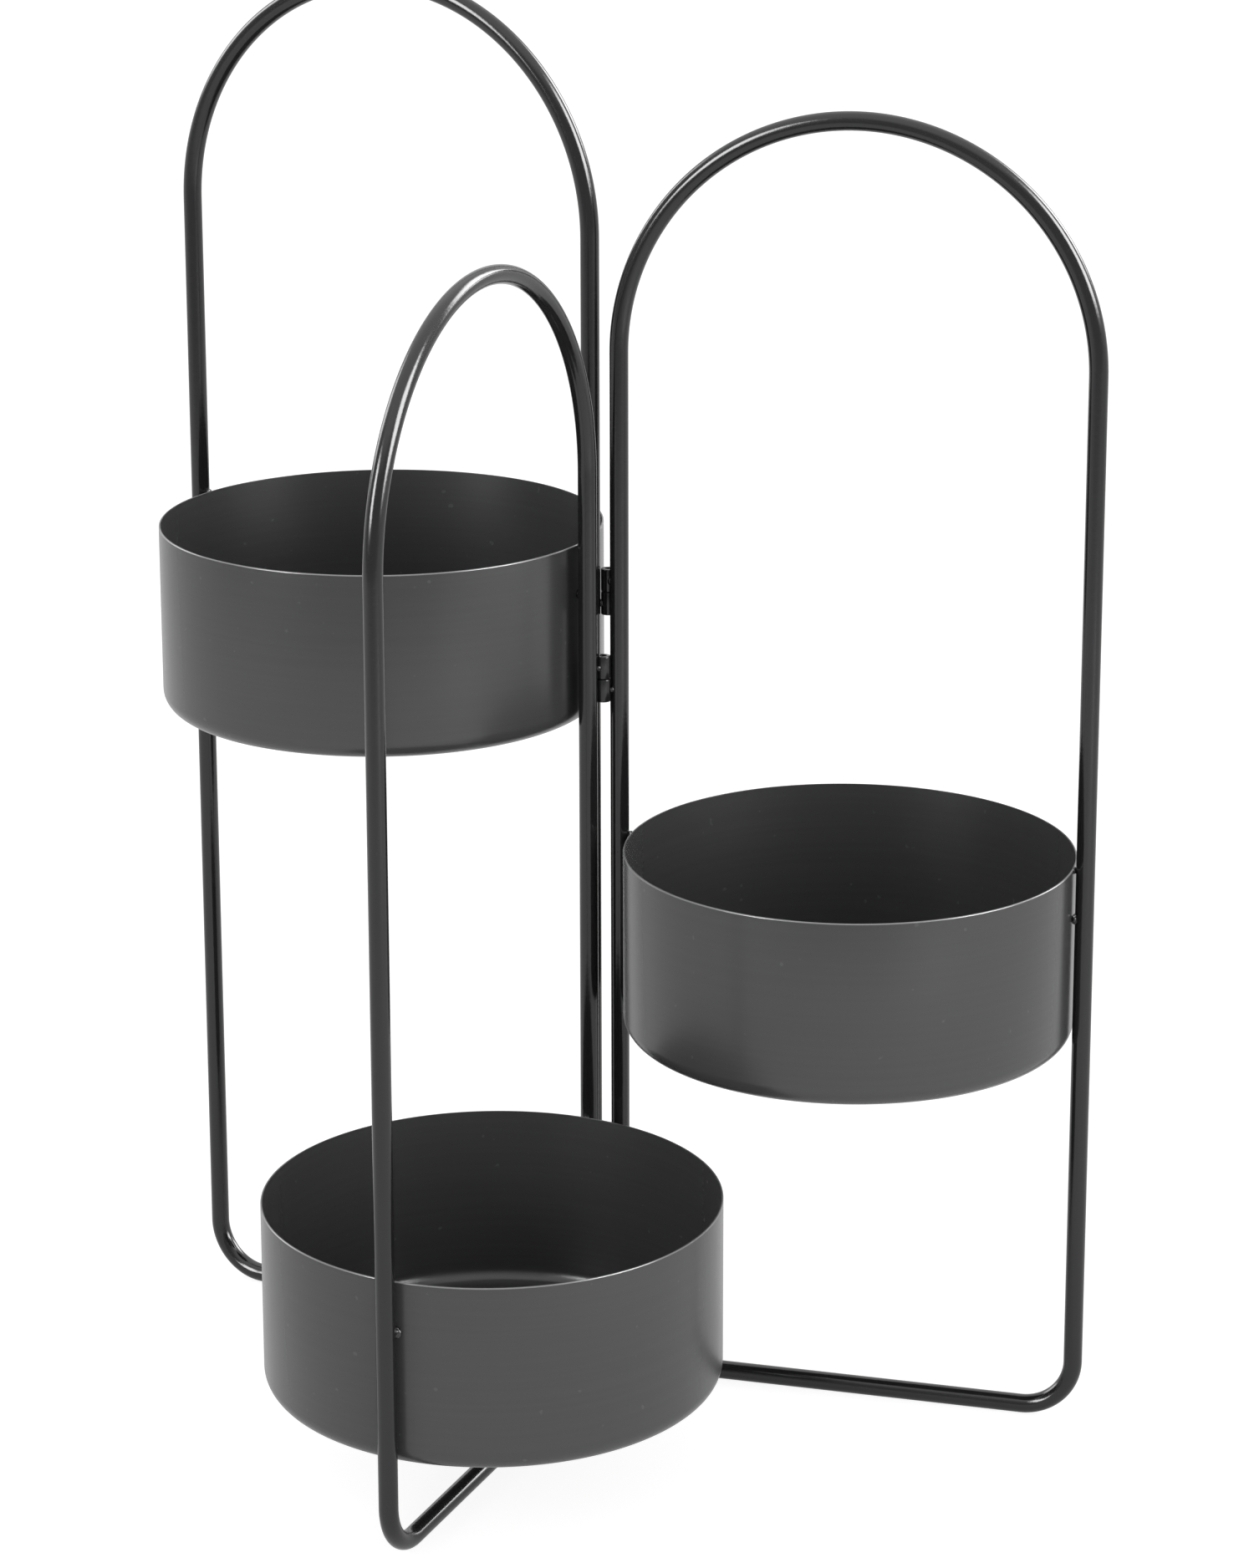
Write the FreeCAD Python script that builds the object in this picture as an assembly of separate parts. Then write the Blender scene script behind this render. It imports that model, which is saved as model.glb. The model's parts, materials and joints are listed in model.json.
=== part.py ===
"""Folding plant stand: three hinged tube panels, each holding one round sheet-metal pot.

Each panel is one bent tube, closed on itself: a floor bar, two rounded corners, two
uprights and a half-round arch. The tall and the front panel hang on two barrel hinges
each, side by side on the middle panel's inner upright, and fold flat against it.

Every panel is drawn folded, parallel to XZ, with the middle panel's inner upright on the
Z axis. The two outer panels are then swung open about their hinge lines, and the whole
stand is moved so that its origin is the middle of its plan, on the floor. +Z is up.
Millimetres and degrees throughout.
"""
import FreeCAD, Part

import math
import os

# Tube loops
TUBE_DIAMETER = 10.0
TUBE_WALL = 1.0
CORNER_RADIUS = 28.0  # centre line of the bends that lead into the floor bar
TALL_HEIGHT = 763.0
MIDDLE_HEIGHT = 704.0
FRONT_HEIGHT = 641.0

# Pots, and how they sit between the uprights
POT_DIAMETER = 240.0
POT_DEPTH = 100.0
POT_WALL = 1.0
POT_EDGE_RADIUS = 10.0  # outside radius of the rounded bottom edge
POT_SIDE_GAP = 1.0  # free gap from the pot's wall to each upright
TALL_POT_FORWARD = 9.0  # tall pot's axis, in front of its uprights and off the folded stack
TALL_RIM_HEIGHT = 468.0
MIDDLE_RIM_HEIGHT = 311.0
FRONT_RIM_HEIGHT = 153.0

# Barrel hinges: a lower knuckle that grips the pin, and an upper one that turns on it
BARREL_DIAMETER = 8.0
BARREL_GAP = 0.3  # from a barrel to either upright beside it
KNUCKLE_LENGTH = 12.3
KNUCKLE_GAP = 0.4
KNUCKLE_CHAMFER = 0.5
PIN_DIAMETER = 4.0
PIN_CLEARANCE = 0.05  # radial, in the upper knuckle
PIN_CHAMFER = 0.4
PIN_RECESS = 1.0  # each pin end lies this deep in its barrel
TALL_HINGE_UPPER_FOOT = 430.0
TALL_HINGE_LOWER_FOOT = 100.0
FRONT_HINGE_UPPER_FOOT = 385.0
FRONT_HINGE_LOWER_FOOT = 55.0

# Folding
FOLDED_GAP = 1.0  # between neighbouring uprights when the stand is folded flat
TALL_OPENING = 165.0  # counter-clockwise from the middle panel, seen from above
FRONT_OPENING = 98.0  # clockwise from the middle panel, seen from above

# Weld beads
POT_BEAD_RADIUS = 2.8
POT_BEAD_DROP = 26.5  # lower beads, below the rim
POT_BEAD_OFFSET = 3.2  # lower beads, out of the panel's plane
RIM_BEAD_RADIUS = 2.0
RIM_BEAD_DROP = 1.0
KNUCKLE_BEAD_RADIUS = 1.6
KNUCKLE_BEAD_OFFSET = 1.8  # out of the line from the upright to the barrel

# Worked out from the sizes above
TUBE_RADIUS = TUBE_DIAMETER / 2
BARREL_RADIUS = BARREL_DIAMETER / 2
POT_RADIUS = POT_DIAMETER / 2
FRAME_WIDTH = POT_DIAMETER + 2 * POT_SIDE_GAP + TUBE_DIAMETER  # between upright centres
ARCH_RADIUS = FRAME_WIDTH / 2
PANEL_PITCH = TUBE_DIAMETER + FOLDED_GAP  # between folded panels' planes
HINGE_REACH = TUBE_RADIUS + BARREL_GAP + BARREL_RADIUS  # upright centre to hinge line
HINGE_SIDE = PANEL_PITCH / 2
HINGE_BACK = math.sqrt(HINGE_REACH**2 - HINGE_SIDE**2)
FULL_TURN = 360

UP = FreeCAD.Vector(0, 0, 1)


def at(x, y, z):
    return FreeCAD.Vector(x, y, z)


def turned(outline, foot):
    """A solid of revolution from (radius, height) points, standing at the point foot."""
    points = [foot + at(radius, 0, height) for radius, height in outline]
    face = Part.Face(Part.makePolygon(points + points[:1]))
    return face.revolve(foot, UP, FULL_TURN)


def loop_path(height, side):
    """Centre line of a tube loop, from the middle of its floor bar round and back to it."""
    bar = TUBE_RADIUS
    spring = height - TUBE_RADIUS - ARCH_RADIUS
    bend = CORNER_RADIUS
    far = FRAME_WIDTH
    half = math.sqrt(0.5) * bend

    def line(x1, z1, x2, z2):
        return Part.LineSegment(at(x1, side, z1), at(x2, side, z2)).toShape()

    def arc(x1, z1, x2, z2, x3, z3):
        return Part.Arc(at(x1, side, z1), at(x2, side, z2), at(x3, side, z3)).toShape()

    return Part.Wire([
        line(far / 2, bar, far - bend, bar),
        arc(far - bend, bar, far - bend + half, bar + bend - half, far, bar + bend),
        line(far, bar + bend, far, spring),
        arc(far, spring, far / 2, spring + ARCH_RADIUS, 0, spring),
        line(0, spring, 0, bar + bend),
        arc(0, bar + bend, bend - half, bar + bend - half, bend, bar),
        line(bend, bar, far / 2, bar),
    ])


def tube_loop(height, side):
    """The bent tube of one panel, hollow, with its closing joint ground flush."""
    path = loop_path(height, side)
    start = at(FRAME_WIDTH / 2, side, TUBE_RADIUS)

    def swept(radius):
        section = Part.Wire(Part.Circle(start, at(1, 0, 0), radius).toShape())
        return path.makePipeShell([section], True, False)

    return swept(TUBE_RADIUS).cut(swept(TUBE_RADIUS - TUBE_WALL))


def pot_outline(radius, edge_radius, foot, rim, axis):
    """Half section of a round-bottomed cup, as a face that is ready to revolve."""
    half = math.sqrt(0.5) * edge_radius
    flat = radius - edge_radius

    def point(out, z):
        return axis + at(0, -out, z)

    edges = [
        Part.LineSegment(point(0, foot), point(flat, foot)),
        Part.Arc(
            point(flat, foot),
            point(flat + half, foot + edge_radius - half),
            point(radius, foot + edge_radius),
        ),
        Part.LineSegment(point(radius, foot + edge_radius), point(radius, rim)),
        Part.LineSegment(point(radius, rim), point(0, rim)),
        Part.LineSegment(point(0, rim), point(0, foot)),
    ]
    return Part.Face(Part.Wire([edge.toShape() for edge in edges]))


def pot_blank(rim, axis):
    """The space inside a pot's outer surface; axis is the point below it on the floor."""
    outline = pot_outline(POT_RADIUS, POT_EDGE_RADIUS, rim - POT_DEPTH, rim, axis)
    return outline.revolve(axis, UP, FULL_TURN)


def pot(rim, axis):
    """One deep-drawn pot with an even wall and a plain cut rim."""
    inside = pot_outline(
        POT_RADIUS - POT_WALL,
        POT_EDGE_RADIUS - POT_WALL,
        rim - POT_DEPTH + POT_WALL,
        rim + POT_WALL,
        axis,
    )
    return pot_blank(rim, axis).cut(inside.revolve(axis, UP, FULL_TURN))


def bead(centre, radius, neighbours):
    """A weld bead: a ball, less what it runs up against."""
    ball = Part.makeSphere(radius, centre)
    for neighbour in neighbours:
        ball = ball.cut(neighbour)
    return ball


def pot_welds(rim, axis, side, front):
    """Two beads on each upright: one on the rim, one lower down on the panel's front."""
    blank = pot_blank(rim, axis)
    beads = []
    for foot in (at(0, side, 0), at(FRAME_WIDTH, side, 0)):
        rod = Part.makeCylinder(TUBE_RADIUS, rim + TUBE_DIAMETER, foot)
        toward = (axis - foot).normalize()
        across = at(0, front, 0) - toward * (front * toward.y)
        across.normalize()
        space = axis.distanceToPoint(foot) - POT_RADIUS - TUBE_RADIUS
        contact = foot + toward * (TUBE_RADIUS + space / 2)
        low = contact + across * POT_BEAD_OFFSET + UP * (rim - POT_BEAD_DROP)
        high = contact + UP * (rim - RIM_BEAD_DROP)
        beads.append(bead(low, POT_BEAD_RADIUS, (rod, blank)))
        beads.append(bead(high, RIM_BEAD_RADIUS, (rod, blank)))
    return Part.makeCompound(beads)


def knuckle(hinge_line, foot, bore_radius):
    """One barrel half, bored right through and chamfered outside at both ends."""
    edge = BARREL_RADIUS - KNUCKLE_CHAMFER
    outline = [
        (bore_radius, 0),
        (edge, 0),
        (BARREL_RADIUS, KNUCKLE_CHAMFER),
        (BARREL_RADIUS, KNUCKLE_LENGTH - KNUCKLE_CHAMFER),
        (edge, KNUCKLE_LENGTH),
        (bore_radius, KNUCKLE_LENGTH),
    ]
    return turned(outline, hinge_line + UP * foot)


def lower_knuckle(hinge_line, foot):
    return knuckle(hinge_line, foot, PIN_DIAMETER / 2)


def upper_knuckle(hinge_line, foot):
    return knuckle(
        hinge_line, foot + KNUCKLE_LENGTH + KNUCKLE_GAP, PIN_DIAMETER / 2 + PIN_CLEARANCE
    )


def pin(hinge_line, foot):
    """The pin of one hinge, pressed into the lower knuckle and free in the upper one."""
    radius = PIN_DIAMETER / 2
    length = 2 * KNUCKLE_LENGTH + KNUCKLE_GAP - 2 * PIN_RECESS
    outline = [
        (0, 0),
        (radius - PIN_CHAMFER, 0),
        (radius, PIN_CHAMFER),
        (radius, length - PIN_CHAMFER),
        (radius - PIN_CHAMFER, length),
        (0, length),
    ]
    return turned(outline, hinge_line + UP * (foot + PIN_RECESS))


def knuckle_welds(upright, hinge_lines_and_feet):
    """Two small beads per knuckle, one each side of where it meets its upright."""
    beads = []
    for hinge_line, foot in hinge_lines_and_feet:
        toward = (hinge_line - upright) * (1 / HINGE_REACH)
        across = at(-toward.y, toward.x, 0)
        contact = upright + toward * (TUBE_RADIUS + BARREL_GAP / 2)
        height = UP * (foot + KNUCKLE_LENGTH / 2)
        rod = Part.makeCylinder(TUBE_RADIUS, KNUCKLE_LENGTH, upright + UP * foot)
        barrel = Part.makeCylinder(BARREL_RADIUS, KNUCKLE_LENGTH, hinge_line + UP * foot)
        for sign in (1, -1):
            centre = contact + across * (sign * KNUCKLE_BEAD_OFFSET) + height
            beads.append(bead(centre, KNUCKLE_BEAD_RADIUS, (rod, barrel)))
    return Part.makeCompound(beads)


def panel(name, height, rim, side, front, forward=0.0):
    """The tube, pot and pot welds of one panel, drawn folded in the plane y = side."""
    axis = at(FRAME_WIDTH / 2, side + front * forward, 0)
    return {
        name + "_frame": tube_loop(height, side),
        name + "_pot": pot(rim, axis),
        name + "_pot_welds": pot_welds(rim, axis, side, front),
    }


def swung(nodes, hinge_line, angle):
    for shape in nodes.values():
        shape.rotate(hinge_line, UP, angle)
    return nodes


def stand():
    """Every node of the open stand, by name."""
    raised = KNUCKLE_LENGTH + KNUCKLE_GAP
    hinge_feet = {
        "tall": {"upper": TALL_HINGE_UPPER_FOOT, "lower": TALL_HINGE_LOWER_FOOT},
        "front": {"upper": FRONT_HINGE_UPPER_FOOT, "lower": FRONT_HINGE_LOWER_FOOT},
    }
    hinge_line = {
        "tall": at(-HINGE_BACK, HINGE_SIDE, 0),
        "front": at(-HINGE_BACK, -HINGE_SIDE, 0),
    }
    tall_upright = at(0, PANEL_PITCH, 0)
    front_upright = at(0, -PANEL_PITCH, 0)

    tall = panel("tall", TALL_HEIGHT, TALL_RIM_HEIGHT, PANEL_PITCH, 1, TALL_POT_FORWARD)
    middle = panel("middle", MIDDLE_HEIGHT, MIDDLE_RIM_HEIGHT, 0, -1)
    front = panel("front", FRONT_HEIGHT, FRONT_RIM_HEIGHT, -PANEL_PITCH, 1)

    # The middle panel drops onto the tall panel's pins, and the front panel onto the
    # middle panel's, so each lower knuckle and its pin belong to the panel named second.
    for place, foot in hinge_feet["tall"].items():
        line = hinge_line["tall"]
        tall["tall_knuckle_" + place] = lower_knuckle(line, foot)
        tall["tall_hinge_pin_" + place] = pin(line, foot)
        middle["middle_knuckle_tall_" + place] = upper_knuckle(line, foot)
    for place, foot in hinge_feet["front"].items():
        line = hinge_line["front"]
        middle["middle_knuckle_front_" + place] = lower_knuckle(line, foot)
        middle["front_hinge_pin_" + place] = pin(line, foot)
        front["front_knuckle_" + place] = upper_knuckle(line, foot)

    tall_feet = hinge_feet["tall"].values()
    front_feet = hinge_feet["front"].values()
    tall["tall_knuckle_welds"] = knuckle_welds(
        tall_upright, [(hinge_line["tall"], foot) for foot in tall_feet]
    )
    front["front_knuckle_welds"] = knuckle_welds(
        front_upright, [(hinge_line["front"], foot + raised) for foot in front_feet]
    )
    middle["middle_knuckle_welds"] = knuckle_welds(
        at(0, 0, 0),
        [(hinge_line["tall"], foot + raised) for foot in tall_feet]
        + [(hinge_line["front"], foot) for foot in front_feet],
    )

    swung(tall, hinge_line["tall"], TALL_OPENING)
    swung(front, hinge_line["front"], -FRONT_OPENING)
    return {**middle, **tall, **front}


def centred(nodes):
    """Moves the stand so that the middle of its plan is at x = 0, y = 0."""
    box = Part.makeCompound(list(nodes.values())).optimalBoundingBox(False, False)
    for shape in nodes.values():
        shape.translate(at(-box.Center.x, -box.Center.y, 0))
    print("hinge and plan offset", round(-box.Center.x, 4), round(-box.Center.y, 4))
    return nodes


os.makedirs("parts", exist_ok=True)
for name, shape in centred(stand()).items():
    shape.exportStep("parts/" + name + ".step")
    print(name, "valid" if shape.isValid() else "BROKEN", len(shape.Solids), "solids",
          round(shape.Volume, 1), "mm3")
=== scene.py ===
"""Dresses the folding plant stand: three hinged panels of black powder-coated steel tube,
each closed on itself round one deep-drawn pot.

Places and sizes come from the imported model's boxes, and the few that they don't give are named
below. Metres, +Z up, in the model's own frame.
"""
import json
import math

import bmesh
import bpy
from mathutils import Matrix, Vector, noise

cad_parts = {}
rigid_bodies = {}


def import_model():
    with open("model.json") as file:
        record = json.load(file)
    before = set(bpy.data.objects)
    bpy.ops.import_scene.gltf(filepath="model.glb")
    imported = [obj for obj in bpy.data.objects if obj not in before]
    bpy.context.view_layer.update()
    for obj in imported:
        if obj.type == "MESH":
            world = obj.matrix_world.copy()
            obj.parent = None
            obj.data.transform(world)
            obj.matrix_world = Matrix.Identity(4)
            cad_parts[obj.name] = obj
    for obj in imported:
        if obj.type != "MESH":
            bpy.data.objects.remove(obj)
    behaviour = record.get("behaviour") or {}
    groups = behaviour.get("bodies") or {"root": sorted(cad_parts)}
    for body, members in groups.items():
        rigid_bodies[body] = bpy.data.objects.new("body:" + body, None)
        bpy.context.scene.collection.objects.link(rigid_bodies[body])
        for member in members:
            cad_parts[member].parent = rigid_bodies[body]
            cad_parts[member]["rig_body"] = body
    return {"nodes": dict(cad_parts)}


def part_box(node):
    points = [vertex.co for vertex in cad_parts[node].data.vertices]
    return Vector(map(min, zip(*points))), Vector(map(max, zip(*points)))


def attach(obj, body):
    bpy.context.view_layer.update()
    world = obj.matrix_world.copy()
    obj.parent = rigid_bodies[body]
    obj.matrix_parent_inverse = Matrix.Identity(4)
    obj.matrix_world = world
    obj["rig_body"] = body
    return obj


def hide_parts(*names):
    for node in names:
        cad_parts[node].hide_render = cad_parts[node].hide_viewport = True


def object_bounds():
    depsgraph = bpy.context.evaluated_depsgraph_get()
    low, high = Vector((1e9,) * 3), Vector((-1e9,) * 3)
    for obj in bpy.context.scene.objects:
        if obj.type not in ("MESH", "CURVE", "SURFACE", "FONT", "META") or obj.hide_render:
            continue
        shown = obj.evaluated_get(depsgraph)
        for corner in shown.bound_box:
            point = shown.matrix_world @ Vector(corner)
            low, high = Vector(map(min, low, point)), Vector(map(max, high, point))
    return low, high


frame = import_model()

CAD_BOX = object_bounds()
MM = 0.001

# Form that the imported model's boxes don't give
CORNER_RADIUS = 28 * MM  # centre line of the bends that lead into the floor bar
POT_WALL = 1 * MM
POT_EDGE_RADIUS = 10 * MM
RIM_ROUNDING = 0.55 * MM  # outside, where the sheet rolls over
INNER_ROUNDING = 0.15 * MM  # inside the same edge
KNUCKLE_BORE = 2.05 * MM  # radius, just clear of the pin
KNUCKLE_ROUNDING = 0.5 * MM
PIN_ROUNDING = 0.4 * MM

# Mesh fineness
TUBE_SIDES = 40
ARCH_STEPS = 120
CORNER_STEPS = 28
POT_SIDES = 256
BARREL_SIDES = 64
FILLET_STEPS = 12  # round a pot's bottom edge
ROUNDING_STEPS = 4  # round a rim or the end of a barrel
NUGGET_FINENESS = 4  # how often a weld bead's starting ball is subdivided
SHARP_ANGLE = math.radians(40)  # a steeper fold between two faces is shaded as an edge

# The camera: a long lens above the stand, turned to the left and looking down at it
IMAGE_HEIGHT = 1876  # pixels
SENSOR_SIZE = 36.0  # mm, along the picture's height
FOCAL_PIXELS = 5359.9
PRINCIPAL_ROW = 750.0  # where the lens's axis meets the picture, in pixels from its top
CAMERA_PLACE = Vector((0.6098, -2.1473, 1.0468))
CAMERA_TURN = math.radians(15.224)
CAMERA_DIP = math.radians(15.202)
CAMERA_ROLL = math.radians(0.096)


def piece(name, mesh_builder, body, nodes, slot, *materials):
    """Turns a finished bmesh into a piece that rides a body and stands for CAD nodes."""
    mesh = bpy.data.meshes.new(name)
    bmesh.ops.recalc_face_normals(mesh_builder, faces=mesh_builder.faces)
    mesh_builder.to_mesh(mesh)
    mesh_builder.free()
    mesh.polygons.foreach_set("use_smooth", [True] * len(mesh.polygons))
    mesh.set_sharp_from_angle(angle=SHARP_ANGLE)
    for material in materials:
        mesh.materials.append(material)
    made = bpy.data.objects.new(name, mesh)
    bpy.context.scene.collection.objects.link(made)
    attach(made, body)
    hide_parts(*nodes)


# ---------------------------------------------------------------- shapes


def arc_points(centre, radius, start, end, steps):
    """Points (across, up) along an arc, with both ends; angles in degrees."""
    points = []
    for step in range(steps + 1):
        angle = math.radians(start + (end - start) * step / steps)
        points.append((centre[0] + radius * math.cos(angle), centre[1] + radius * math.sin(angle)))
    return points


def bridge(builder, ring, following):
    """Faces between two rings of vertices; a ring of one vertex is a pole."""
    count = max(len(ring), len(following))
    for index in range(count):
        after = (index + 1) % count
        corners = [ring[index % len(ring)], ring[after % len(ring)]]
        corners += [following[after % len(following)], following[index % len(following)]]
        builder.faces.new(list(dict.fromkeys(corners)))


def lathed(outline, foot, sides, closed):
    """A bmesh turned from (radius, height) points about the upright line through foot."""
    builder = bmesh.new()
    rings = []
    for radius, height in outline:
        count = sides if radius > 0 else 1
        ring = []
        for side in range(count):
            angle = math.tau * side / count
            offset = Vector((radius * math.cos(angle), radius * math.sin(angle), height))
            ring.append(builder.verts.new(foot + offset))
        rings.append(ring)
    pairs = list(zip(rings, rings[1:]))
    if closed:
        pairs.append((rings[-1], rings[0]))
    for ring, following in pairs:
        bridge(builder, ring, following)
    return builder


def tube_loop(inner, outer, tube_radius, top):
    """A bmesh of one bent tube, closed on itself, between two upright centre lines."""
    along = (outer - inner).normalized()
    width = (outer - inner).length
    normal = along.cross(Vector((0, 0, 1)))
    arch = width / 2
    low = tube_radius + CORNER_RADIUS
    spring = top - tube_radius - arch  # where the uprights end and the arch begins
    far = width - CORNER_RADIUS
    path = arc_points((far, low), CORNER_RADIUS, -90, 0, CORNER_STEPS)
    path += arc_points((arch, spring), arch, 0, 180, ARCH_STEPS)
    path += arc_points((CORNER_RADIUS, low), CORNER_RADIUS, 180, 270, CORNER_STEPS)

    builder = bmesh.new()
    rings = []
    for index, (across, up) in enumerate(path):
        before = path[index - 1]
        after = path[(index + 1) % len(path)]
        if index in (0, len(path) - 1):
            heading = along  # the two ends of the straight floor bar
        else:
            heading = along * (after[0] - before[0]) + Vector((0, 0, after[1] - before[1]))
        outward = heading.normalized().cross(normal)
        centre = inner + along * across + Vector((0, 0, up))
        ring = []
        for side in range(TUBE_SIDES):
            angle = math.tau * side / TUBE_SIDES
            offset = outward * math.cos(angle) + normal * math.sin(angle)
            ring.append(builder.verts.new(centre + offset * tube_radius))
        rings.append(ring)
    for ring, following in zip(rings, rings[1:] + rings[:1]):
        bridge(builder, ring, following)
    return builder


def pot_shell(radius, depth, foot):
    """A bmesh of one pot: flat floor, rounded bottom edge, even wall and softened rim.

    The outside of the rim takes the second material, a paler grey that paints the rim's highlight.
    """
    shoulder = (radius - POT_EDGE_RADIUS, POT_EDGE_RADIUS)
    outer = (radius - RIM_ROUNDING, depth - RIM_ROUNDING)
    inner = (radius - POT_WALL + INNER_ROUNDING, depth - INNER_ROUNDING)
    outline = [(0, 0)]
    outline += arc_points(shoulder, POT_EDGE_RADIUS, -90, 0, FILLET_STEPS)
    outline += arc_points(outer, RIM_ROUNDING, 0, 90, ROUNDING_STEPS)
    outline += arc_points(inner, INNER_ROUNDING, 90, 180, ROUNDING_STEPS)
    outline += arc_points(shoulder, POT_EDGE_RADIUS - POT_WALL, 0, -90, FILLET_STEPS)
    outline += [(0, POT_WALL)]
    builder = lathed(outline, foot, POT_SIDES, closed=False)
    for face in builder.faces:
        middle = face.calc_center_median() - foot
        if middle.z > outer[1] and middle.xy.length > outer[0]:
            face.material_index = 1
    return builder


def knuckle_sleeve(radius, length, foot):
    """A bmesh of one hinge barrel, bored through, with rounded outer edges."""
    edge = radius - KNUCKLE_ROUNDING
    outline = [(KNUCKLE_BORE, 0)]
    outline += arc_points((edge, KNUCKLE_ROUNDING), KNUCKLE_ROUNDING, -90, 0, ROUNDING_STEPS)
    outline += arc_points(
        (edge, length - KNUCKLE_ROUNDING), KNUCKLE_ROUNDING, 0, 90, ROUNDING_STEPS
    )
    outline += [(KNUCKLE_BORE, length)]
    return lathed(outline, foot, BARREL_SIDES, closed=True)


def pin_rod(radius, length, foot):
    """A bmesh of one hinge pin with rounded ends."""
    edge = radius - PIN_ROUNDING
    outline = [(0, 0)]
    outline += arc_points((edge, PIN_ROUNDING), PIN_ROUNDING, -90, 0, ROUNDING_STEPS)
    outline += arc_points((edge, length - PIN_ROUNDING), PIN_ROUNDING, 0, 90, ROUNDING_STEPS)
    outline += [(0, length)]
    return lathed(outline, foot, BARREL_SIDES, closed=False)


# ---------------------------------------------------------------- weld beads

BEAD_SWELL = 1.04  # of the CAD bead's own half size
BEAD_MOST_SWELL = 1.12  # with its lumps
BEAD_LUMPS = ((1.7, 0.30), (4.1, 0.10))  # (lumps per radius, share of the radius)
MERGE_DISTANCE = 0.002 * MM
PLACE_DECIMALS = 5  # of a metre, so that beads at one height sort by their place across


def bead_boxes(node):
    """(middle, half size) of each separate bead in a CAD node, lowest first."""
    builder = bmesh.new()
    builder.from_mesh(frame["nodes"][node].data)
    bmesh.ops.remove_doubles(builder, verts=builder.verts, dist=MERGE_DISTANCE)
    unseen = set(builder.verts)
    boxes = []
    while unseen:
        group = [unseen.pop()]
        for vertex in group:
            for edge in vertex.link_edges:
                other = edge.other_vert(vertex)
                if other in unseen:
                    unseen.remove(other)
                    group.append(other)
        low = Vector(min(v.co[axis] for v in group) for axis in range(3))
        high = Vector(max(v.co[axis] for v in group) for axis in range(3))
        boxes.append(((low + high) / 2, (high - low) / 2))
    builder.free()
    return sorted(
        boxes, key=lambda box: tuple(round(value, PLACE_DECIMALS) for value in box[0].zxy)
    )


def weld_beads(node, keep_out):
    """A bmesh of uneven weld nuggets, one where each CAD bead is."""
    builder = bmesh.new()
    for middle, half in bead_boxes(node):
        nugget = bmesh.ops.create_icosphere(builder, subdivisions=NUGGET_FINENESS, radius=1)
        for vertex in nugget["verts"]:
            direction = vertex.co.normalized()
            swell = BEAD_SWELL
            for pitch, share in BEAD_LUMPS:
                swell += share * noise.noise(direction * pitch + middle / MM)
            spread = Vector(direction[axis] * half[axis] for axis in range(3))
            vertex.co = keep_out(middle + spread * min(swell, BEAD_MOST_SWELL))
    return builder


def outside_pot(centre, radius):
    """A rule that keeps a point from coming through a pot's wall."""
    least = radius - POT_WALL / 2

    def keep_out(point):
        across = Vector((point.x - centre.x, point.y - centre.y, 0))
        if across.length < least:
            across = across.normalized() * least
        return Vector((centre.x + across.x, centre.y + across.y, point.z))

    return keep_out


def anywhere(point):
    """The rule for beads that stand clear of the pots."""
    return point


# ---------------------------------------------------------------- materials

MIX_COLOURS = slice(6, 8)  # a Mix node's two colour inputs
MIX_RESULT = 2  # its colour output


class Shading:
    """Node steps shared by the finishes, the floor and the world."""

    def __init__(self, tree):
        self.nodes = tree.nodes
        self.link = tree.links.new

    def new(self, kind, **values):
        """A node with some of its inputs set by name."""
        node = self.nodes.new(kind)
        for name, value in values.items():
            node.inputs[name].default_value = value
        return node

    def maths(self, operation, first, second):
        """A Math node's result; each of the two values is a number or a socket."""
        node = self.nodes.new("ShaderNodeMath")
        node.operation = operation
        for socket, value in zip(node.inputs, (first, second)):
            if isinstance(value, (int, float)):
                socket.default_value = value
            else:
                self.link(value, socket)
        return node.outputs["Value"]

    def ranged(self, value, low, high, to_low, to_high):
        """The value taken smoothly from one range to another."""
        node = self.nodes.new("ShaderNodeMapRange")
        node.interpolation_type = "SMOOTHSTEP"
        for socket, number in zip(node.inputs[1:5], (low, high, to_low, to_high)):
            socket.default_value = number
        self.link(value, node.inputs["Value"])
        return node.outputs["Result"]

    def within(self, value, low, high, soft):
        """1 between low and high, 0 outside, with edges of twice the soft width."""
        rise = self.ranged(value, low - soft, low + soft, 0.0, 1.0)
        fall = self.ranged(value, high - soft, high + soft, 1.0, 0.0)
        return self.maths("MULTIPLY", rise, fall)

    def either(self, amount, first, second):
        """The first shader where the amount is 0, and the second where it is 1."""
        node = self.nodes.new("ShaderNodeMixShader")
        for socket, source in zip(node.inputs, (amount, first, second)):
            self.link(source, socket)
        return node.outputs["Shader"]


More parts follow.
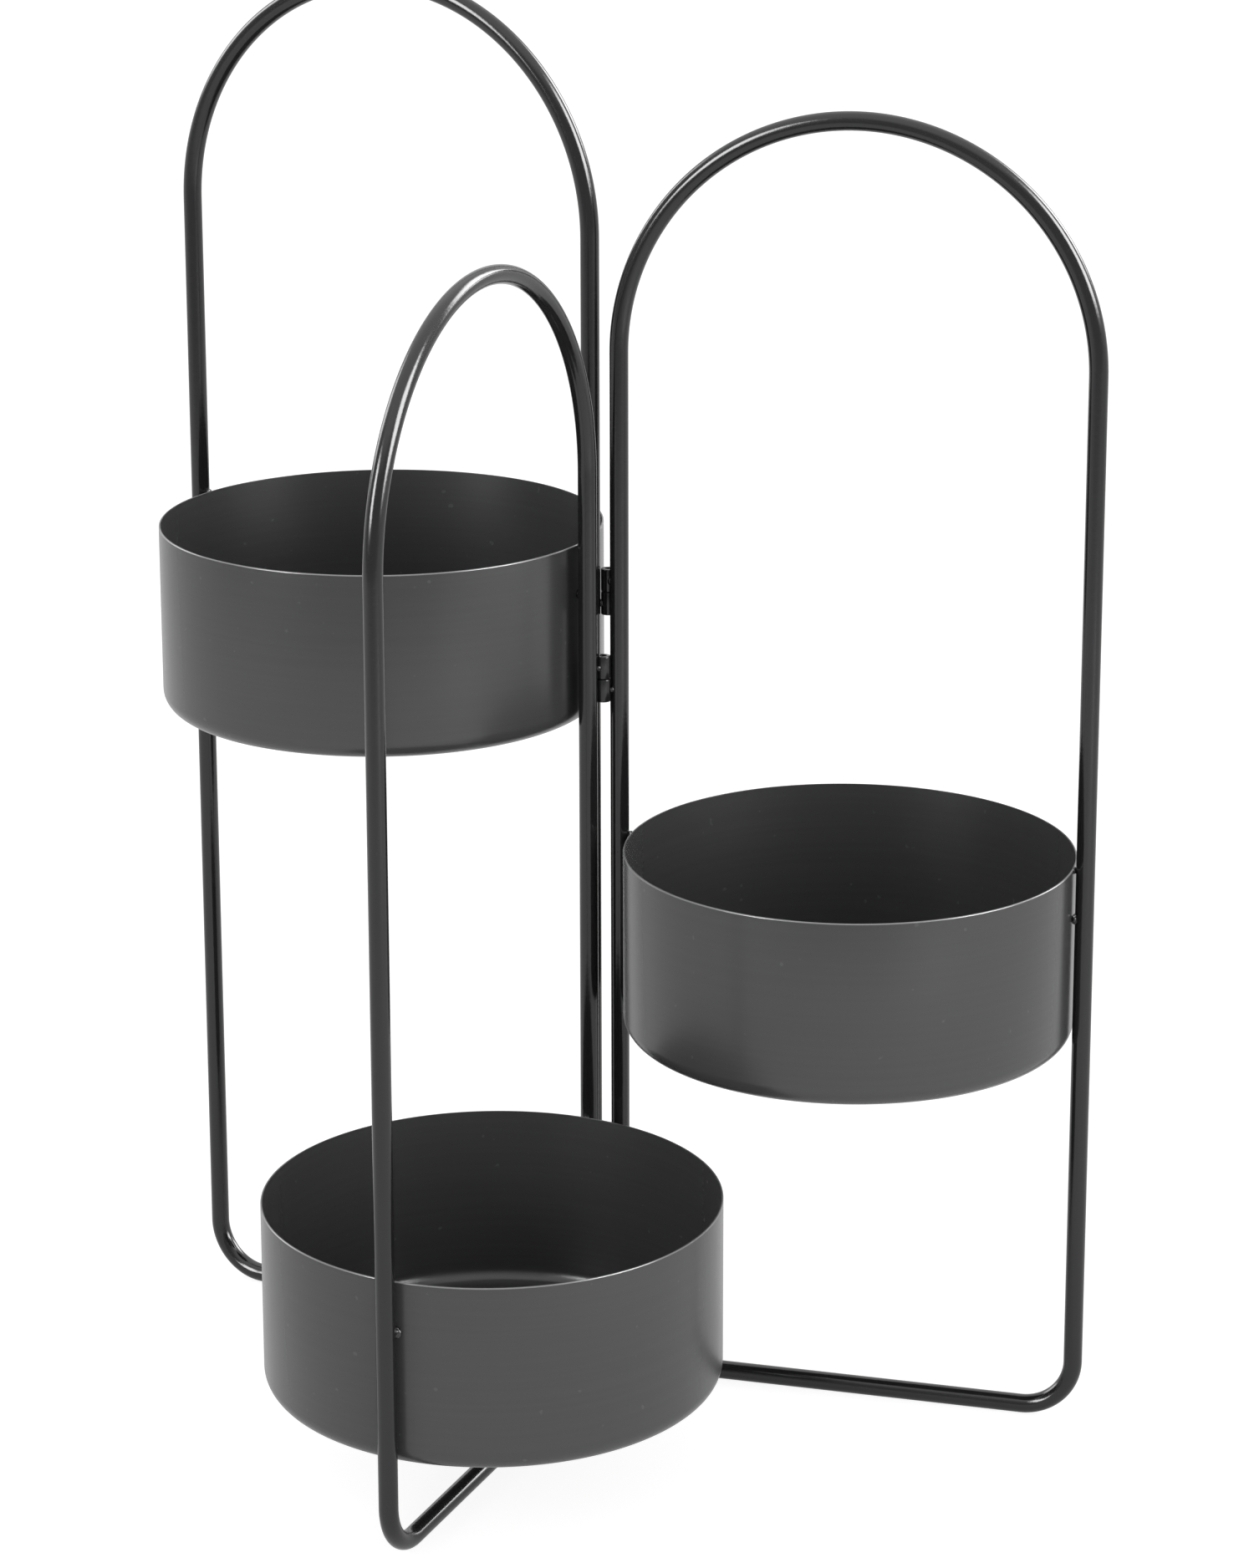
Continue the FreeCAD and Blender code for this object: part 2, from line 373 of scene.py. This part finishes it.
class Finish(Shading):
    """A node material that is built up from a Principled shader, in object coordinates.

    The shine is the shader's specular level, 0.5 for a plain coat.
    """

    def __init__(self, name, colour, roughness, shine):
        self.material = bpy.data.materials.new(name)
        self.material.use_nodes = True
        super().__init__(self.material.node_tree)
        self.shader = self.nodes["Principled BSDF"]
        self.shader.inputs["Roughness"].default_value = roughness
        self.shader.inputs["Specular IOR Level"].default_value = shine
        self.shader.inputs["Base Color"].default_value = (*colour, 1)
        self.place = self.nodes.new("ShaderNodeTexCoord").outputs["Object"]
        self.relief = None

    def stretched(self, scale):
        """The object's coordinates scaled along each axis."""
        mapping = self.new("ShaderNodeMapping", Scale=scale)
        self.link(self.place, mapping.inputs["Vector"])
        return mapping.outputs["Vector"]

    def noise(self, scale, detail=2.0, vector=None):
        texture = self.new("ShaderNodeTexNoise", Scale=scale, Detail=detail)
        self.link(vector or self.place, texture.inputs["Vector"])
        return texture.outputs["Fac"]

    def mixed(self, amount, first, second):
        node = self.nodes.new("ShaderNodeMix")
        node.data_type = "RGBA"
        self.link(amount, node.inputs["Factor"])
        for socket, colour in zip(node.inputs[MIX_COLOURS], (first, second)):
            socket.default_value = (*colour, 1)
        return node.outputs[MIX_RESULT]

    def bump(self, height, distance):
        """Lays one more relief over those before it."""
        node = self.new("ShaderNodeBump", Distance=distance)
        self.link(height, node.inputs["Height"])
        if self.relief is not None:
            self.link(self.relief, node.inputs["Normal"])
        self.relief = node.outputs["Normal"]
        self.link(self.relief, self.shader.inputs["Normal"])


# Colours, all linear
TUBE_BLACK = (0.011, 0.011, 0.0115)
POT_BLACK = (0.049, 0.049, 0.050)
RIM_HIGHLIGHT_GREY = (0.17, 0.17, 0.172)  # a paler grey that paints the bright highlight along the pot's rim
STEEL = (0.16, 0.16, 0.165)

# Noises are in lumps per metre, and bands are the part of a noise that runs from none to full
PATCH_SCALE, PATCH_DETAIL, PATCH_SHARE = 30.0, 3.0, 0.7  # slow changes of gloss
GRAIN_SCALE, GRAIN_DETAIL = 900.0, 2.0  # fine ones, for the rest
GLOSS_BAND = (0.35, 0.65)
SPECK_BAND, SPECK_DETAIL = (0.82, 0.88), 0.0
SPECK_PALER = 1.4  # times the coat's colour
RUBBED_PER_METRE, RUBBED_DETAIL = (5.0, 5.0, 420.0), 4.0  # long level marks, by axis
RUBBED_BAND = (0.3, 0.7)

STEEL_METALLIC, STEEL_ROUGHNESS, STEEL_SHINE = 0.9, 0.35, 0.5
DRAWN_SCALE, DRAWN_STRETCH, DRAWN_DEPTH = 1500.0, (1.0, 1.0, 0.05), 0.01 * MM
DULL_SCALE, DULL_DETAIL, DULL_ROUGHNESS = 700.0, 3.0, (0.3, 0.5)

# Orange peel, as (lumps per metre, depth) from coarse to fine
PEEL_DETAIL = 1.0
TUBE_PEEL = ((420.0, 0.030 * MM), (1300.0, 0.008 * MM))
POT_PEEL = ((900.0, 0.008 * MM),)
BEAD_PEEL = ((1500.0, 0.04 * MM),)


def powder_coat(name, colour, roughness, spread, shine, peels, speck_scale, streak=0.0):
    """Black powder coat: orange peel, slow changes of gloss and a few pale specks.

    The spread is how far the gloss changes either way, and the streak is how far level
    rubbing marks lift or lower the colour.
    """
    finish = Finish(name, colour, roughness, shine)
    for peel_scale, peel_depth in peels:
        finish.bump(finish.noise(peel_scale, PEEL_DETAIL), peel_depth)
    patches = finish.maths("MULTIPLY", finish.noise(PATCH_SCALE, PATCH_DETAIL), PATCH_SHARE)
    grain = finish.maths("MULTIPLY", finish.noise(GRAIN_SCALE, GRAIN_DETAIL), 1 - PATCH_SHARE)
    blend = finish.maths("ADD", patches, grain)
    gloss = finish.ranged(blend, *GLOSS_BAND, roughness - spread, roughness + spread)
    finish.link(gloss, finish.shader.inputs["Roughness"])
    specks = finish.ranged(finish.noise(speck_scale, SPECK_DETAIL), *SPECK_BAND, 0.0, 1.0)
    paler = [channel * SPECK_PALER for channel in colour]
    speckled = finish.mixed(specks, colour, paler)
    if streak:
        rubbed = finish.noise(1.0, RUBBED_DETAIL, finish.stretched(RUBBED_PER_METRE))
        lift = finish.ranged(rubbed, *RUBBED_BAND, 1 - streak, 1 + streak)
        scaled = finish.nodes.new("ShaderNodeVectorMath")
        scaled.operation = "SCALE"
        finish.link(speckled, scaled.inputs[0])
        finish.link(lift, scaled.inputs["Scale"])
        speckled = scaled.outputs["Vector"]
    finish.link(speckled, finish.shader.inputs["Base Color"])
    return finish.material


def pin_steel(name):
    """Oiled steel wire: darkened, drawn lengthways, with dull patches."""
    finish = Finish(name, STEEL, STEEL_ROUGHNESS, STEEL_SHINE)
    finish.shader.inputs["Metallic"].default_value = STEEL_METALLIC
    finish.bump(finish.noise(DRAWN_SCALE, vector=finish.stretched(DRAWN_STRETCH)), DRAWN_DEPTH)
    dull = finish.ranged(finish.noise(DULL_SCALE, DULL_DETAIL), *GLOSS_BAND, *DULL_ROUGHNESS)
    finish.link(dull, finish.shader.inputs["Roughness"])
    return finish.material


TUBE_COAT = powder_coat(
    "tube_powder_coat", TUBE_BLACK, roughness=0.155, spread=0.02, shine=0.5,
    peels=TUBE_PEEL, speck_scale=420.0,
)
POT_COAT = powder_coat(
    "pot_powder_coat", POT_BLACK, roughness=0.25, spread=0.006, shine=0.5,
    peels=POT_PEEL, speck_scale=260.0, streak=0.025,
)
# The rim's coat: a paler grey that paints the bright line along the pot's rim, a painted highlight
RIM_HIGHLIGHT_COAT = powder_coat(
    "pot_edge_coat", RIM_HIGHLIGHT_GREY, roughness=0.20, spread=0.02, shine=1.0,
    peels=POT_PEEL, speck_scale=260.0,
)
BEAD_COAT = powder_coat(
    "bead_powder_coat", TUBE_BLACK, roughness=0.14, spread=0.03, shine=0.7,
    peels=BEAD_PEEL, speck_scale=420.0,
)
PIN_STEEL = pin_steel("pin_steel")


# ---------------------------------------------------------------- the three panels

# The corner of its frame's box at which each panel's hinged upright stands: signs along x and y
HINGED_CORNER = {"middle": (-1, 0), "tall": (1, -1), "front": (1, 1)}


def middle_and_half(node):
    """The middle and half size of a CAD node's box."""
    low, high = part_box(node)
    return (low + high) / 2, (high - low) / 2


TUBE_RADIUS = middle_and_half("middle_frame")[1].y  # this panel lies along x, one tube deep


def upright_pair(name):
    """The feet of the hinged and the free upright's centre lines, on the floor."""
    middle, half = middle_and_half(name + "_frame")
    along_x, along_y = HINGED_CORNER[name]
    reach = Vector((along_x * (half.x - TUBE_RADIUS), along_y * (half.y - TUBE_RADIUS), 0))
    floor = Vector((middle.x, middle.y, 0))
    return floor + reach, floor - reach


def dress_panel(name):
    """The tube, pot and weld beads of one panel."""
    body = name + "_panel"
    hinged, free = upright_pair(name)
    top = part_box(name + "_frame")[1].z
    tube = tube_loop(hinged, free, TUBE_RADIUS, top)
    piece(name + "_tube", tube, body, [name + "_frame"], "frame_coating", TUBE_COAT)

    middle, half = middle_and_half(name + "_pot")
    foot = Vector((middle.x, middle.y, middle.z - half.z))
    shell = pot_shell(half.x, 2 * half.z, foot)
    pot_nodes = [name + "_pot"]
    # The rim's outside takes the paler grey of the painted rim highlight
    piece(name + "_pot_shell", shell, body, pot_nodes, "pot_coating", POT_COAT, RIM_HIGHLIGHT_COAT)

    for held, keep_out in (("_pot", outside_pot(middle, half.x)), ("_knuckle", anywhere)):
        welds = name + held + "_welds"
        beads = weld_beads(welds, keep_out)
        piece(name + held + "_beads", beads, body, [welds], "frame_coating", BEAD_COAT)


def dress_barrel(node, maker, slot, material, suffix):
    """One knuckle or pin, turned where the CAD node is."""
    middle, half = middle_and_half(node)
    foot = Vector((middle.x, middle.y, middle.z - half.z))
    turned = maker(half.x, 2 * half.z, foot)
    body = frame["nodes"][node]["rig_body"]
    piece(node + suffix, turned, body, [node], slot, material)


for panel_name in HINGED_CORNER:
    dress_panel(panel_name)
for node in sorted(frame["nodes"]):
    if "_hinge_pin_" in node:
        dress_barrel(node, pin_rod, "hinge_pin_steel", PIN_STEEL, "_rod")
    elif "_knuckle_" in node and "welds" not in node:
        dress_barrel(node, knuckle_sleeve, "frame_coating", TUBE_COAT, "_sleeve")


# ---------------------------------------------------------------- floor, light and camera

WHITE = (1, 1, 1, 1)
FLOOR_REACH = 12.0
FLOOR_SIDES = 64
FLOOR_COLOUR = (0.80, 0.80, 0.80, 1)  # as the floor lights the object
SHADOW_SHARE = 0.30  # of the floor's look from the camera that is lit, and so takes a shadow
SHADOW_GAIN = 1.25  # brings the open floor's lit share up to white
MIRROR_SHADE = 0.6  # the lit share of the floor in mirrors
PAPER_NEAR, PAPER_FAR = 1.4, 2.8  # in front, where the mirrored floor starts and stops darkening
PAPER_END = 0.5  # how bright it is from there on
WORLD_FILL = 0.80  # the world's even light on the object
FRONT_TURN, SIDE_TURN = math.radians(65), math.radians(105)  # off the front, to either side
FRONT_SHADE = 0.45  # the dim room in front, against the white backdrop behind
CEILING_LOW, CEILING_HIGH = 0.40, 0.85  # sine of the height at which walls turn into ceiling
CEILING_END = 1.5  # the ceiling's strength
# Soft-edged lamps that only glossy reflections see: turn from the front towards +X in
# degrees, sine of the height, and strength
LAMPS = (
    ((-50, -27), (0.16, 0.58), 18.0),
    ((66, 101), (0.15, 0.72), 18.0),
    ((129, 156), (0.20, 0.62), 12.0),
    ((-121, -95), (0.12, 0.52), 5.5),
)
LAMP_SOFT_TURN = math.radians(5)
LAMP_SOFT_HEIGHT = 0.09
# Lights on the object: name, place, size and watts
SOFTBOXES = (
    ("left_softbox", (-1.9, -1.5, 1.2), (0.6, 0.6), 8.0),
    ("side_softbox", (1.5, -1.0, 0.55), (0.6, 0.9), 10.0),
    ("top_softbox", (0.0, 0.4, 3.4), (1.2, 1.2), 8.0),
)


def staged_floor():
    """White paper: to the camera plain white but for the shadow, and a pale floor otherwise."""
    builder = bmesh.new()
    bmesh.ops.create_circle(builder, cap_ends=True, segments=FLOOR_SIDES, radius=FLOOR_REACH)
    mesh = bpy.data.meshes.new("floor")
    builder.to_mesh(mesh)
    builder.free()
    floor = bpy.data.objects.new("floor", mesh)
    bpy.context.scene.collection.objects.link(floor)

    material = bpy.data.materials.new("floor_white")
    material.use_nodes = True
    mesh.materials.append(material)
    shading = Shading(material.node_tree)
    shading.nodes.clear()
    path = shading.new("ShaderNodeLightPath")
    plain = shading.new("ShaderNodeBsdfDiffuse", Color=FLOOR_COLOUR)
    bright = shading.new("ShaderNodeBsdfDiffuse", Color=WHITE)
    white = shading.new("ShaderNodeEmission", Strength=SHADOW_GAIN)
    seen = shading.new("ShaderNodeMixShader", Fac=1 - SHADOW_SHARE)
    shading.link(bright.outputs["BSDF"], seen.inputs[1])
    shading.link(white.outputs["Emission"], seen.inputs[2])

    split = shading.new("ShaderNodeSeparateXYZ")
    shading.link(shading.new("ShaderNodeTexCoord").outputs["Object"], split.inputs["Vector"])
    fade = shading.ranged(split.outputs["Y"], -PAPER_FAR, -PAPER_NEAR, PAPER_END, 1.0)
    even = shading.new("ShaderNodeEmission")
    shading.link(fade, even.inputs["Strength"])
    shaded = shading.new("ShaderNodeBsdfDiffuse")
    shading.link(fade, shaded.inputs["Color"])
    mirrored = shading.new("ShaderNodeMixShader", Fac=MIRROR_SHADE)
    shading.link(even.outputs["Emission"], mirrored.inputs[1])
    shading.link(shaded.outputs["BSDF"], mirrored.inputs[2])

    surface = shading.either(
        path.outputs["Is Glossy Ray"], plain.outputs["BSDF"], mirrored.outputs["Shader"]
    )
    surface = shading.either(path.outputs["Is Camera Ray"], surface, seen.outputs["Shader"])
    shading.link(surface, shading.new("ShaderNodeOutputMaterial").inputs["Surface"])


def white_world():
    """White where it is seen, a lit studio in mirrors, and an even fill for the rest."""
    world = bpy.data.worlds.new("studio")
    bpy.context.scene.world = world
    world.use_nodes = True
    shading = Shading(world.node_tree)
    shading.nodes.clear()
    path = shading.new("ShaderNodeLightPath")
    seen = shading.new("ShaderNodeBackground", Color=WHITE, Strength=1.0)
    studio = shading.new("ShaderNodeBackground", Color=WHITE)
    fill = shading.new("ShaderNodeBackground", Color=WHITE, Strength=WORLD_FILL)

    split = shading.new("ShaderNodeSeparateXYZ")
    shading.link(shading.new("ShaderNodeTexCoord").outputs["Generated"], split.inputs["Vector"])
    front = shading.maths("MULTIPLY", split.outputs["Y"], -1.0)
    turn = shading.maths("ARCTAN2", split.outputs["X"], front)
    height = split.outputs["Z"]
    aside = shading.maths("ABSOLUTE", turn, 0.0)
    walls = shading.ranged(aside, FRONT_TURN, SIDE_TURN, FRONT_SHADE, 1.0)
    ceiling = shading.ranged(height, CEILING_LOW, CEILING_HIGH, 0.0, 1.0)
    open_share = shading.maths("SUBTRACT", 1.0, ceiling)
    strength = shading.maths(
        "ADD",
        shading.maths("MULTIPLY", walls, open_share),
        shading.maths("MULTIPLY", ceiling, CEILING_END),
    )
    for (turn_low, turn_high), (height_low, height_high), power in LAMPS:
        low, high = math.radians(turn_low), math.radians(turn_high)
        across = shading.within(turn, low, high, LAMP_SOFT_TURN)
        along = shading.within(height, height_low, height_high, LAMP_SOFT_HEIGHT)
        lamp = shading.maths("MULTIPLY", across, along)
        strength = shading.maths("ADD", strength, shading.maths("MULTIPLY", lamp, power))
    shading.link(strength, studio.inputs["Strength"])

    mirror = shading.maths(
        "MAXIMUM", path.outputs["Is Glossy Ray"], path.outputs["Is Transmission Ray"]
    )
    light = shading.either(mirror, fill.outputs["Background"], studio.outputs["Background"])
    light = shading.either(path.outputs["Is Camera Ray"], light, seen.outputs["Background"])
    shading.link(light, shading.new("ShaderNodeOutputWorld").inputs["Surface"])


def softbox(name, place, size, power):
    """A soft oblong light that faces the middle of the stand, and that no mirror shows."""
    light = bpy.data.lights.new(name, "AREA")
    light.shape = "RECTANGLE"
    light.size, light.size_y = size
    light.energy = power
    lamp = bpy.data.objects.new(name, light)
    lamp.location = place
    aim = (CAD_BOX[0] + CAD_BOX[1]) / 2 - Vector(place)
    lamp.rotation_euler = aim.to_track_quat("-Z", "Y").to_euler()
    lamp.visible_camera = False
    lamp.visible_glossy = False
    bpy.context.scene.collection.objects.link(lamp)


def camera():
    """The photograph's view, with the frame shifted a little down."""
    data = bpy.data.cameras.new("camera")
    data.sensor_width = SENSOR_SIZE
    data.lens = FOCAL_PIXELS * SENSOR_SIZE / IMAGE_HEIGHT
    data.shift_y = (PRINCIPAL_ROW - IMAGE_HEIGHT / 2) / IMAGE_HEIGHT
    eye = bpy.data.objects.new("camera", data)
    eye.location = CAMERA_PLACE
    eye.rotation_euler = (math.pi / 2 - CAMERA_DIP, CAMERA_ROLL, CAMERA_TURN)
    bpy.context.scene.collection.objects.link(eye)
    bpy.context.scene.camera = eye


staged_floor()
white_world()
for softbox_values in SOFTBOXES:
    softbox(*softbox_values)
camera()
bpy.context.scene.view_settings.view_transform = "Standard"
